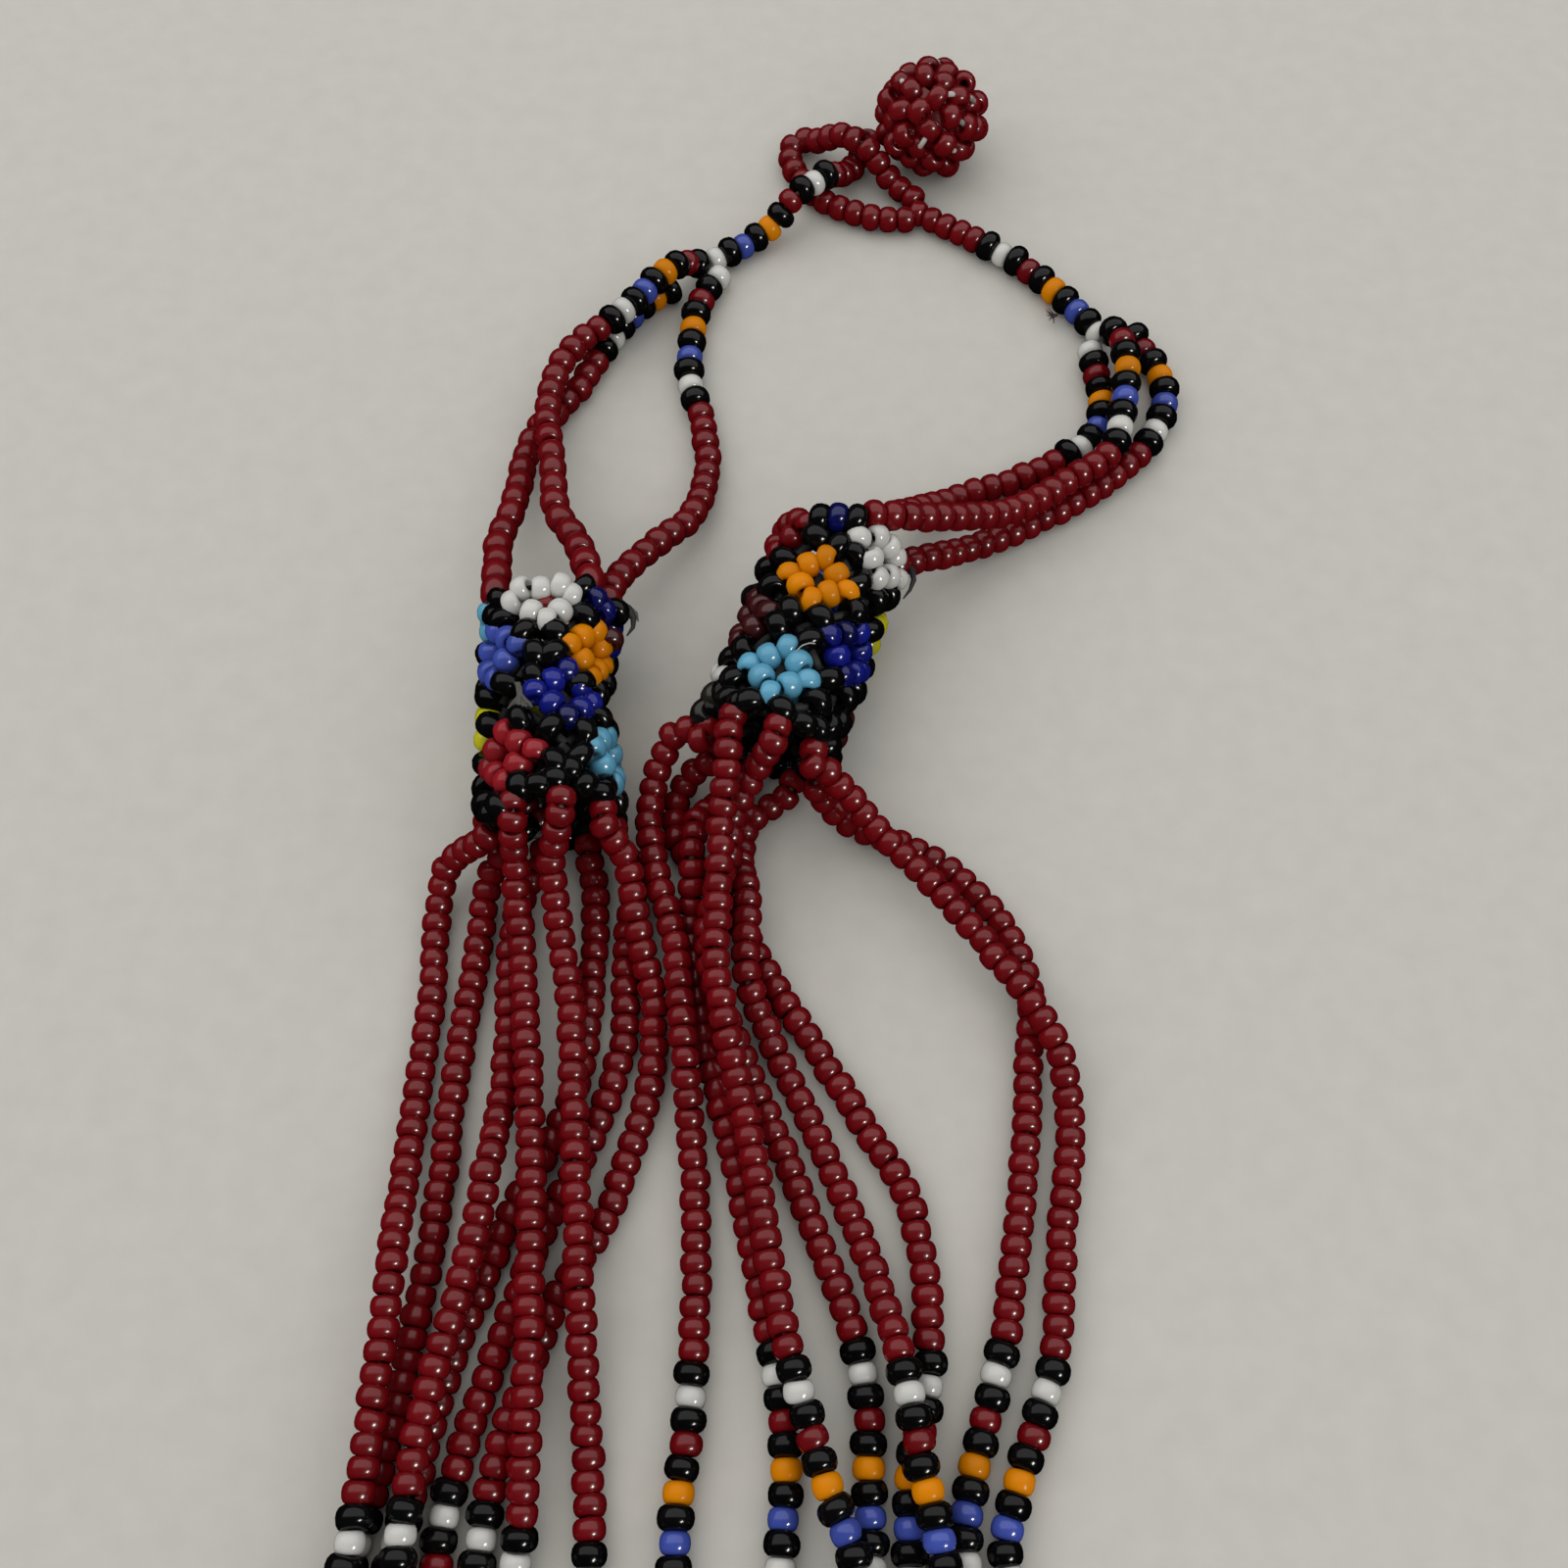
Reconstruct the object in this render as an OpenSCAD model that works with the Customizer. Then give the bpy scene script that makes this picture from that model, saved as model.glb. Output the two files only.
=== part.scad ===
// Seed bead necklace, lying open on a flat surface. A bead ball buttons through a bead
// loop at the back. On each side one string forks into three strands, these enter a
// woven bead tube, and eight strands run round the front from one tube to the other.
// The surface is z = 0, and +Y points from the front of the necklace to its clasp.

/* [Beads] */
// Diameter of a seed bead, which is the thickness of each strand
bead_d = 3.0; // [2.9:0.05:3.0]
// Free space between two strands where one lies over the other
bead_gap = 0.1; // [0.1:0.05:0.3]

/* [Woven tubes] */
// Outer diameter of a woven tube
tube_d = 14.8; // [14.6:0.2:15]
// Open bore of a woven tube
tube_bore = 9; // [8:0.5:9.4]
// Length of the left woven tube
left_tube_len = 22.5; // [21.5:0.5:23]
// Length of the right woven tube
right_tube_len = 23; // [22:0.5:23]

/* [Clasp] */
// Diameter of the ball button
ball_d = 13.2; // [12.8:0.2:13.4]

/* [Front curve] */
// Radius at which the innermost front strand turns round
inner_turn = 7; // [7:0.5:8]
// Distance between two neighbouring strands in the turn
turn_pitch = 3.6; // [3.4:0.1:3.8]

/* [Hidden] */

// Moves the measured layout so that the origin is at the middle of the footprint
layout_shift = [0.95, 31, 0];

// Heights of a strand's centre: on the surface, over one strand, over two strands
low = bead_d / 2;
step_up = bead_d + bead_gap;
high = low + step_up;
top = high + step_up;

// A strand's section and the distance between its rings
sides = 8;
ring_pitch = 6.2;
fewest_turn_steps = 6;
// Facets round the tubes and the ball
round_facets = 64;
// Free space between a strand's end and its tube, and the straight run next to it
seat_gap = 0.3;
straight_run = 1.6;

// Woven tubes: centre of the front end, and the turn of the axis from -Y
left_tube_front = [-22, -7.5, tube_d / 2];
left_tube_turn = 3.4;
right_tube_front = [-1.8, 0.5, tube_d / 2];
right_tube_turn = -18.5;
// Distance from a tube's axis to the strands on its rims
rim_r = (tube_d + tube_bore) / 4;

// Middle of the turn that the front strands make round the front
turn_centre = [-12, -120];

ball_centre = [17.6, 85, ball_d / 2];

function along_tube(turn) = [sin(turn), -cos(turn), 0];
function across_tube(turn) = [cos(turn), sin(turn), 0];

// Place on a tube's rim, at an angle from the top towards +X, and out beyond the end
function rim_place(end, turn, angle, out) =
    end + across_tube(turn) * rim_r * sin(angle) + [0, 0, rim_r * cos(angle)]
        + along_tube(turn) * out;

function left_front_exit(angle) = [
    rim_place(left_tube_front, left_tube_turn, angle, seat_gap),
    rim_place(left_tube_front, left_tube_turn, angle, seat_gap + straight_run)
];
function right_front_exit(angle) = [
    rim_place(right_tube_front, right_tube_turn, angle, seat_gap),
    rim_place(right_tube_front, right_tube_turn, angle, seat_gap + straight_run)
];
left_tube_back = left_tube_front - along_tube(left_tube_turn) * left_tube_len;
function left_back_exit(angle) = [
    rim_place(left_tube_back, left_tube_turn, angle, -seat_gap - straight_run),
    rim_place(left_tube_back, left_tube_turn, angle, -seat_gap)
];

function reversed(list) = [for (i = [len(list) - 1:-1:0]) list[i]];

// Half turn of one front strand, from the left side to the right
function front_turn(rank) =
    let (r = inner_turn + turn_pitch * rank, n = max(fewest_turn_steps, ceil(PI * r / ring_pitch)))
    [for (i = [0:n])
        [turn_centre.x - r * cos(180 * i / n), turn_centre.y - r * sin(180 * i / n), low]];

// Left and right halves of the front strands, from the tube to the turn. Each row is
// [rim angle on the tube, places of the strand], and the rows go from the outermost
// strand to the innermost one.
left_halves = [
    [-75, [[-32, -10.5, 4], [-33.2, -15, low], [-33, -22, low], [-33.4, -31, low],
        [-33.7, -39, 2.2], [-33.6, -47, high], [-33.8, -55, high], [-34.2, -63, high],
        [-34.9, -71, high], [-38, -79, high], [-41.6, -86, 3.2], [-43.6, -94, low],
        [-44.2, -107, low]]],
    [-120, [[-28.4, -12, 2.8], [-29, -18, low], [-29.7, -26, low], [-30.3, -34, low],
        [-30.7, -42, low], [-31.4, -50, low], [-32.5, -58, low], [-33.8, -65, low],
        [-35.2, -71, low], [-37.4, -80, low], [-39.8, -92, low], [-40.6, -106, low]]],
    [150, [[-18.3, -11, low], [-18, -18, low], [-18.2, -25, low], [-19.1, -31.5, low],
        [-21.4, -37.4, low], [-24.4, -43.4, low], [-26.7, -50.5, low],
        [-28.4, -55.5, low], [-30.1, -63, low], [-31.9, -71, low], [-34.1, -80, low],
        [-36.4, -92, low], [-37, -106, low]]],
    [-165, [[-24.9, -12, low], [-25.9, -18, low], [-25.6, -26, low], [-25.6, -33, 2.4],
        [-26, -39.5, high], [-26.8, -46, high], [-28.1, -52, high], [-29.4, -58, high],
        [-30.4, -65, high], [-30.9, -72, high], [-31.6, -80, high], [-32.6, -90, 2.2],
        [-33.2, -98, low], [-33.4, -108, low]]],
    [105, [[-14.5, -10, 1.8], [-14.7, -15, low], [-15, -21, low], [-15, -28, low],
        [-17.8, -37.4, low], [-20.8, -43.4, low], [-23.2, -50.4, low],
        [-24.9, -55.8, low], [-27, -63, low], [-28.3, -71, low], [-28.9, -82, low],
        [-29.4, -94, low], [-29.8, -106, low]]],
    [60, [[-14.8, -11.5, 7.2], [-13.6, -17.5, 4.9], [-12, -24.5, 2.6], [-12.4, -32, low],
        [-14.4, -39.4, low], [-16.5, -44.9, low], [-19.6, -50, low], [-21.6, -56, low],
        [-23.7, -62.5, low], [-24.9, -70, low], [-25.6, -82, low], [-26, -94, low],
        [-26.2, -106, low]]],
    [-30, [[-25, -12.5, 8], [-24.4, -19, 5], [-23.6, -26, high], [-22.8, -33, high],
        [-22.1, -41, high], [-21.7, -49, high], [-21.4, -58, high], [-21.4, -66, 3],
        [-21.9, -74, low], [-22.3, -84, low], [-22.6, -96, low], [-22.6, -108, low]]],
    [15, [[-21.6, -12.5, 8.4], [-20.6, -19, 5.2], [-19.4, -26, high], [-18.8, -34, high],
        [-18, -42, high], [-17.4, -50, high], [-16.8, -58, 2.6], [-16.2, -65, low],
        [-15.9, -72, low], [-17, -84, low], [-18.6, -97, low], [-19, -109, low]]]
];
right_halves = [
    [60, [[4.9, -3.6, 8.6], [8.8, -7.4, 5.6], [14.4, -13.2, 4.8], [19, -19.2, high],
        [22.8, -24.4, high], [25.2, -29.5, 3.6], [25.8, -36.5, low], [24.6, -43.5, low],
        [23.9, -50.5, low], [22.8, -56.5, low], [20.8, -61.6, low], [18.9, -66.8, low],
        [18, -71, low], [19.6, -80, low], [20.4, -92, low], [20.2, -106, low]]],
    [105, [[4.2, -3.9, 3.6], [6.8, -5.6, 1.8], [11, -7, low], [14.8, -9.2, low],
        [18.6, -12.6, low], [21.6, -17.2, low], [23.1, -22.6, low], [22.6, -29, low],
        [21.6, -38, low], [20.2, -47, low], [18.6, -55, low], [16.4, -62, low],
        [14.8, -69, low], [15.6, -78, low], [16.8, -90, low], [16.6, -105, low]]],
    [150, [[-1, -3, 1.8], [-3.4, -5, low], [-4.2, -8, low], [-4, -11, 3],
        [-3.4, -14, 4.3], [-3.5, -17.5, high], [-3.4, -22, high], [-1.7, -26.2, 2.6],
        [0.9, -31.6, low], [3.8, -38, low], [6.5, -44.8, low], [8.6, -51, 2.8],
        [10.2, -57.5, high], [11.3, -64, high], [12.6, -70.5, high], [13.4, -77, high],
        [13.6, -86, 2], [13.2, -94, low], [13, -106, low]]],
    [-120, [[-9.5, -0.6, 2.6], [-10.7, -3.6, low], [-10.5, -6.4, low],
        [-9.2, -9, low], [-7, -11.6, low], [-4.9, -14.6, low], [-3.1, -17.8, low],
        [-0.4, -22.8, low], [3.3, -28.5, low], [7, -34.8, low], [10.7, -41, low],
        [12.1, -47, low], [12.4, -53, low], [12.1, -58.5, low], [10.6, -63.5, low],
        [10.3, -71, low], [10.3, -80, low], [9.8, -92, low], [9.4, -106, low]]],
    [-30, [[-5.2, -2.6, 12.4], [-5.8, -8.4, 9.8], [-6.1, -15, 8.2], [-6.1, -22, top],
        [-5.2, -27.5, 7], [-4, -32.5, 5.2], [-2.7, -38.5, high], [-1.5, -46.6, high],
        [0, -53.3, high], [1.9, -60, high], [3.5, -65.6, high], [5.6, -71, high],
        [7, -79, high], [6.8, -89, 2.2], [6.1, -98, low], [5.8, -108, low]]],
    [15, [[-2.4, -2.8, 9.8], [-4.8, -6.6, 7], [-5.3, -10.6, 6.1], [-6.5, -14, 5.3],
        [-7.1, -18, high], [-6.6, -22.2, high], [-5.1, -26, 3.9], [-3.3, -30.2, 1.8],
        [-0.7, -36.2, low], [2.1, -43, low], [4.8, -50, low], [6.4, -55, low],
        [7.1, -60.5, low], [7, -66, low], [6.9, -71.5, low], [3.9, -80, low],
        [2.7, -92, low], [2.2, -106, low]]],
    [-165, [[-4.9, -1.6, low], [-6.9, -3.4, 2], [-8.4, -6, 4], [-8.8, -9, high],
        [-8.8, -12, 4.1], [-8.9, -15.5, 2.2], [-8.4, -20, low], [-7.1, -28.3, low],
        [-5.1, -35.5, low], [-3.5, -42.5, low], [-2, -49.5, low], [-0.7, -56, low],
        [0.2, -63, low], [-0.2, -70.6, low], [-0.8, -80, low], [-1.2, -92, low],
        [-1.4, -106, low]]],
    [-75, [[-10.4, 1.8, 7.6], [-12.8, -2.6, 4.6], [-12.8, -8, high],
        [-11.9, -12.5, high], [-10.2, -18.5, high], [-9.6, -23.5, high],
        [-9.1, -29, high], [-8.4, -36, 2],
        [-7.8, -43, low], [-7.6, -52, low], [-8.1, -60.4, low], [-8.9, -69, low],
        [-8.4, -80, low], [-6.2, -92, low], [-5, -106, low]]]
];

// Neck strands, from the fork behind to the tube
neck_left_1 = concat([[-9.7, 66.5, 1.9], [-12.2, 64.4, 4.3], [-14.6, 61.7, high], [-17.3, 58.1, high],
    [-20.8, 54.6, high], [-23.8, 51.4, high], [-25.6, 46.4, 4.6], [-25.5, 40.6, 5.4],
    [-24.5, 33.7, 6.4], [-23.4, 27.3, 7.8], [-21, 22.9, 9.3]], left_back_exit(45));
neck_left_2 = concat([[-13.3, 62.8, low], [-15.6, 61.2, low], [-17.7, 58.8, low],
    [-19.6, 55.6, low], [-21.4, 52.2, low], [-23, 48.8, low], [-25.2, 45.4, low],
    [-27.5, 42.4, low], [-28.3, 37.7, 2.5],
    [-28.6, 30.7, 4.6], [-29.4, 24.3, 6.8]], left_back_exit(-60));
neck_left_3 = concat([[-7.2, 65.4, low], [-9.7, 60.8, low], [-10.6, 54.6, low],
    [-10.4, 49, low], [-8.9, 43.4, low], [-8.4, 37.6, low], [-9.6, 30.9, 2.8],
    [-13.1, 25.9, 4.6], [-16.4, 21.2, 6.3]], left_back_exit(82));
neck_right_1 = [[36.4, 56.4, 2.8], [37.6, 53.8, 4.1], [38, 50.2, high], [37.7, 47, high],
    [37, 43, high], [35.2, 37.6, high], [29.6, 33.2, high], [24, 29, 6], [17.4, 25.6, 9.6],
    [12.4, 23.9, 12.2], [9, 23.2, 13.3]];
neck_right_2 = [[39.5, 56.5, low], [42.2, 51, low], [42.4, 46, low], [39.8, 40.6, low],
    [33.8, 34.8, low], [27, 30.5, low], [20.4, 26.9, 2.4], [15.6, 23.8, 5],
    [11.7, 21.9, 6.5]];
neck_right_3 = [[34.5, 54.9, low], [35.4, 48.6, low], [35, 43.4, low],
    [31.6, 39.6, low], [25.2, 36, low], [18.6, 33.6, low], [13.4, 29.6, 5],
    [9.8, 26, 8.6], [8, 23.4, 10]];

// Strings of the clasp
button_route = [[10.1, 84.4, 4.2], [9.6, 84.3, 2.1], [8.2, 82.1, low],
    [6.8, 80.2, 2.4], [5, 77.9, 4.5], [3.4, 76.3, high], [1.2, 74.4, high],
    [-1.6, 72, 2.2], [-5, 69.4, low], [-8.5, 67.2, low]];
loop_route = [[16, 76.7, low], [13.2, 79.2, 2], [11.1, 80.7, 4], [9.2, 82, 5.5],
    [6.8, 83.8, 5], [4.4, 85.3, 2.8], [2.4, 86.5, 1.6], [1, 85.5, low],
    [0.9, 82.8, low], [2.1, 79.9, low], [4.6, 76.9, low], [7.8, 75, low],
    [10.8, 74, low], [14.2, 73.8, low]];
right_route = [[15.7, 75, low], [20, 72.2, low], [23.4, 69.9, low],
    [27.5, 66.7, low], [31.6, 62.4, low], [35.8, 56.7, low]];

function front_route(i) = concat(
    left_front_exit(left_halves[i][0]), left_halves[i][1],
    front_turn(len(left_halves) - 1 - i),
    reversed(right_halves[i][1]), reversed(right_front_exit(right_halves[i][0])));

// Smooth curve through the places of a route, with a ring about every ring_pitch
function curve_at(p0, p1, p2, p3, t) =
    ((p1 * 2) + (p2 - p0) * t + (p0 * 2 - p1 * 5 + p2 * 4 - p3) * t * t
        + (p1 * 3 - p0 - p2 * 3 + p3) * t * t * t) / 2;
function smooth(route) = let (last = len(route) - 1) concat(
    [for (i = [0:last - 1])
        let (n = max(1, round(norm(route[i + 1] - route[i]) / ring_pitch)))
        for (k = [0:n - 1])
            let (p = curve_at(route[max(i - 1, 0)], route[i], route[i + 1],
                route[min(i + 2, last)], k / n))
            [p.x, p.y, max(p.z, low)]],
    [route[last]]);

function unit(v) = v / norm(v);

// A round strand swept along a route as one closed solid
module strand(route) {
    path = smooth(route);
    last = len(path) - 1;
    rings = [for (i = [0:last])
        let (
            ahead = unit(path[min(i + 1, last)] - path[max(i - 1, 0)]),
            side = unit(cross(ahead, [0, 0, 1])),
            upward = cross(side, ahead)
        )
        for (k = [0:sides - 1])
            let (a = 360 * k / sides)
            path[i] + (side * sin(a) + upward * cos(a)) * bead_d / 2];
    walls = [for (i = [0:last - 1], k = [0:sides - 1])
        let (
            next = (k + 1) % sides,
            a = i * sides + k,
            b = i * sides + next,
            c = (i + 1) * sides + next,
            d = (i + 1) * sides + k
        )
        each [[a, c, b], [a, d, c]]];
    first_cap = [for (k = [0:sides - 1]) k];
    last_cap = [for (k = [sides - 1:-1:0]) last * sides + k];
    polyhedron(rings, concat(walls, [first_cap, last_cap]), convexity = 12);
}

module laid() {
    translate(layout_shift) children();
}

// A hollow woven tube, from its front end back along its axis
module woven_tube(front, turn, length) {
    translate(front) rotate([0, 0, turn]) rotate([-90, 0, 0]) difference() {
        cylinder(d = tube_d, h = length, $fn = round_facets);
        translate([0, 0, -1]) cylinder(d = tube_bore, h = length + 2, $fn = round_facets);
    }
}

module ball_button() {
    color("firebrick") laid() translate(ball_centre) sphere(d = ball_d, $fn = round_facets);
}

module button_string() {
    color("firebrick") laid() strand(button_route);
}

module clasp_loop() {
    color("firebrick") laid() strand(loop_route);
}

module right_string() {
    color("firebrick") laid() strand(right_route);
}

module neck_strand(route) {
    color("firebrick") laid() strand(route);
}

module woven_tube_left() {
    color("black") laid() woven_tube(left_tube_front, left_tube_turn, left_tube_len);
}

module woven_tube_right() {
    color("black") laid() woven_tube(right_tube_front, right_tube_turn, right_tube_len);
}

module front_strand(i) {
    color("firebrick") laid() strand(front_route(i));
}

ball_button();
button_string();
clasp_loop();
right_string();
neck_strand(neck_left_1);  // neck_strand_left_1
neck_strand(neck_left_2);  // neck_strand_left_2
neck_strand(neck_left_3);  // neck_strand_left_3
neck_strand(neck_right_1);  // neck_strand_right_1
neck_strand(neck_right_2);  // neck_strand_right_2
neck_strand(neck_right_3);  // neck_strand_right_3
woven_tube_left();
woven_tube_right();
front_strand(0);  // front_strand_1
front_strand(1);  // front_strand_2
front_strand(2);  // front_strand_3
front_strand(3);  // front_strand_4
front_strand(4);  // front_strand_5
front_strand(5);  // front_strand_6
front_strand(6);  // front_strand_7
front_strand(7);  // front_strand_8
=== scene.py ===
import math
import random

import bpy
import numpy as np
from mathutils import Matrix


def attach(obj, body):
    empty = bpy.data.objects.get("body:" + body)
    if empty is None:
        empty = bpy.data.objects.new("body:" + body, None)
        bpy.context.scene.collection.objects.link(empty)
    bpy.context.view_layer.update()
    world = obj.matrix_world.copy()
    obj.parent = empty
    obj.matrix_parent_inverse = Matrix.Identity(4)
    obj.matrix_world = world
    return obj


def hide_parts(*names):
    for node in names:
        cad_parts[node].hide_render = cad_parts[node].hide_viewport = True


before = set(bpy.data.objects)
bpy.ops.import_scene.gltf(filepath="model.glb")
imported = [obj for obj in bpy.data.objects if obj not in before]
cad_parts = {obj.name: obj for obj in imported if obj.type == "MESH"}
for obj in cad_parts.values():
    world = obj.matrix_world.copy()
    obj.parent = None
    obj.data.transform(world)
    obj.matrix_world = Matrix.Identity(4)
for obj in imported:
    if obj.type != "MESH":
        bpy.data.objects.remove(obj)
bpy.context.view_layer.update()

dice = random.Random(7)
# Millimetres in a metre
MM = 1000

# Moves the measured layout so that the origin is at the middle of the footprint
LAYOUT_SHIFT = np.array([0.95, 31.0, 0.0])

# Camera, at the photograph's height and tilt over the middle of its frame
CAMERA_TILT = math.radians(25.9)
CAMERA_DISTANCE = 169.0
FOCAL_PX = 1716.0
FRAME_PX = 1600.0
SENSOR_WIDTH = 36.0

camera_data = bpy.data.cameras.new("camera")
camera_data.sensor_width = SENSOR_WIDTH
camera_data.lens = SENSOR_WIDTH * FOCAL_PX / FRAME_PX
camera_data.clip_start = 0.01
camera = bpy.data.objects.new("camera", camera_data)
bpy.context.scene.collection.objects.link(camera)
camera.location = [
    LAYOUT_SHIFT[0] / MM,
    (LAYOUT_SHIFT[1] - CAMERA_DISTANCE * math.sin(CAMERA_TILT)) / MM,
    CAMERA_DISTANCE * math.cos(CAMERA_TILT) / MM,
]
camera.rotation_euler = (CAMERA_TILT, 0, 0)
bpy.context.scene.camera = camera

# Sizes, in millimetres like the source of the part
BEAD_R = 1.5
HOLE_R = 0.42
BALL_CENTRE = np.array([17.6, 85.0, 6.6])
BALL_R = 6.6
# Heights of a strand's centre: on the surface, over one strand, over two strands
LOW = BEAD_R
HIGH = 4.6
TOP = 7.7
# Radius of a woven tube, and the distance from its axis to the strands on its rims
TUBE_R = 7.4
RIM_R = 5.95
# Free space between a strand's end and its tube, and the straight run next to it
SEAT_GAP = 0.3
STRAIGHT_RUN = 1.6
# The turn of the front strands: middle, innermost radius, spacing and step along it
TURN_CENTRE = (-12.0, -120.0)
INNER_TURN = 7.0
TURN_PITCH = 3.6
TURN_STEP = 6.2
FEWEST_TURN_STEPS = 6

# Tubes: centre of the front end, turn of the axis from -Y, length
LEFT_TUBE = (np.array([-22.0, -7.5, TUBE_R]), 3.4, 22.5)
RIGHT_TUBE = (np.array([-1.8, 0.5, TUBE_R]), -18.5, 23.0)

# Beads: length along the thread and diameter, by a letter for the kind of glass: red,
# black, white, orange, periwinkle, light blue, royal blue, yellow, cherry, brown red
# and worn black
BEADS = {
    "r": (1.82, 2.78),
    "k": (1.95, 3.14),
    "w": (1.77, 2.66),
    "o": (1.86, 2.74),
    "b": (1.79, 2.7),
    "l": (1.86, 2.72),
    "u": (1.86, 2.72),
    "y": (1.86, 2.72),
    "c": (1.86, 2.76),
    "d": (1.86, 2.76),
    "g": (2.0, 3.0),
}
# The pattern on every string and strand, and its last part, next to a fork
PATTERN = "kwkrkokbkwk"
FORK_TAIL = "krkokbkwk"


def along_tube(turn):
    a = math.radians(turn)
    return np.array([math.sin(a), -math.cos(a), 0.0])


def across_tube(turn):
    a = math.radians(turn)
    return np.array([math.cos(a), math.sin(a), 0.0])


def rim_place(tube, angle, out, back=False):
    """A place on a tube's front or back rim, at an angle from the top."""
    end, turn, length = tube
    a = math.radians(angle)
    if back:
        end = end - along_tube(turn) * length
    return (end + across_tube(turn) * RIM_R * math.sin(a)
            + np.array([0, 0, RIM_R * math.cos(a)]) + along_tube(turn) * out)


def front_exit(tube, angle):
    return [rim_place(tube, angle, SEAT_GAP), rim_place(tube, angle, SEAT_GAP + STRAIGHT_RUN)]


def back_exit(tube, angle):
    return [rim_place(tube, angle, -SEAT_GAP - STRAIGHT_RUN, True),
            rim_place(tube, angle, -SEAT_GAP, True)]


def front_turn(rank):
    """Half turn of one front strand round the front, from the left side to the right."""
    r = INNER_TURN + TURN_PITCH * rank
    n = max(FEWEST_TURN_STEPS, math.ceil(math.pi * r / TURN_STEP))
    return [(TURN_CENTRE[0] - r * math.cos(math.pi * i / n),
             TURN_CENTRE[1] - r * math.sin(math.pi * i / n), LOW) for i in range(n + 1)]


# The routes of the strands, as in the source of the part: rim angle and places
LEFT_HALVES = [
    (-75, [[-32, -10.5, 4], [-33.2, -15, LOW], [-33, -22, LOW], [-33.4, -31, LOW],
        [-33.7, -39, 2.2], [-33.6, -47, HIGH], [-33.8, -55, HIGH], [-34.2, -63, HIGH],
        [-34.9, -71, HIGH], [-38, -79, HIGH], [-41.6, -86, 3.2], [-43.6, -94, LOW],
        [-44.2, -107, LOW]]),
    (-120, [[-28.4, -12, 2.8], [-29, -18, LOW], [-29.7, -26, LOW], [-30.3, -34, LOW],
        [-30.7, -42, LOW], [-31.4, -50, LOW], [-32.5, -58, LOW], [-33.8, -65, LOW],
        [-35.2, -71, LOW], [-37.4, -80, LOW], [-39.8, -92, LOW], [-40.6, -106, LOW]]),
    (150, [[-18.3, -11, LOW], [-18, -18, LOW], [-18.2, -25, LOW], [-19.1, -31.5, LOW],
        [-21.4, -37.4, LOW], [-24.4, -43.4, LOW], [-26.7, -50.5, LOW],
        [-28.4, -55.5, LOW], [-30.1, -63, LOW], [-31.9, -71, LOW], [-34.1, -80, LOW],
        [-36.4, -92, LOW], [-37, -106, LOW]]),
    (-165, [[-24.9, -12, LOW], [-25.9, -18, LOW], [-25.6, -26, LOW], [-25.6, -33, 2.4],
        [-26, -39.5, HIGH], [-26.8, -46, HIGH], [-28.1, -52, HIGH], [-29.4, -58, HIGH],
        [-30.4, -65, HIGH], [-30.9, -72, HIGH], [-31.6, -80, HIGH], [-32.6, -90, 2.2],
        [-33.2, -98, LOW], [-33.4, -108, LOW]]),
    (105, [[-14.5, -10, 1.8], [-14.7, -15, LOW], [-15, -21, LOW], [-15, -28, LOW],
        [-17.8, -37.4, LOW], [-20.8, -43.4, LOW], [-23.2, -50.4, LOW],
        [-24.9, -55.8, LOW], [-27, -63, LOW], [-28.3, -71, LOW], [-28.9, -82, LOW],
        [-29.4, -94, LOW], [-29.8, -106, LOW]]),
    (60, [[-14.8, -11.5, 7.2], [-13.6, -17.5, 4.9], [-12, -24.5, 2.6], [-12.4, -32, LOW],
        [-14.4, -39.4, LOW], [-16.5, -44.9, LOW], [-19.6, -50, LOW], [-21.6, -56, LOW],
        [-23.7, -62.5, LOW], [-24.9, -70, LOW], [-25.6, -82, LOW], [-26, -94, LOW],
        [-26.2, -106, LOW]]),
    (-30, [[-25, -12.5, 8], [-24.4, -19, 5], [-23.6, -26, HIGH], [-22.8, -33, HIGH],
        [-22.1, -41, HIGH], [-21.7, -49, HIGH], [-21.4, -58, HIGH], [-21.4, -66, 3],
        [-21.9, -74, LOW], [-22.3, -84, LOW], [-22.6, -96, LOW], [-22.6, -108, LOW]]),
    (15, [[-21.6, -12.5, 8.4], [-20.6, -19, 5.2], [-19.4, -26, HIGH], [-18.8, -34, HIGH],
        [-18, -42, HIGH], [-17.4, -50, HIGH], [-16.8, -58, 2.6], [-16.2, -65, LOW],
        [-15.9, -72, LOW], [-17, -84, LOW], [-18.6, -97, LOW], [-19, -109, LOW]]),
]
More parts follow.
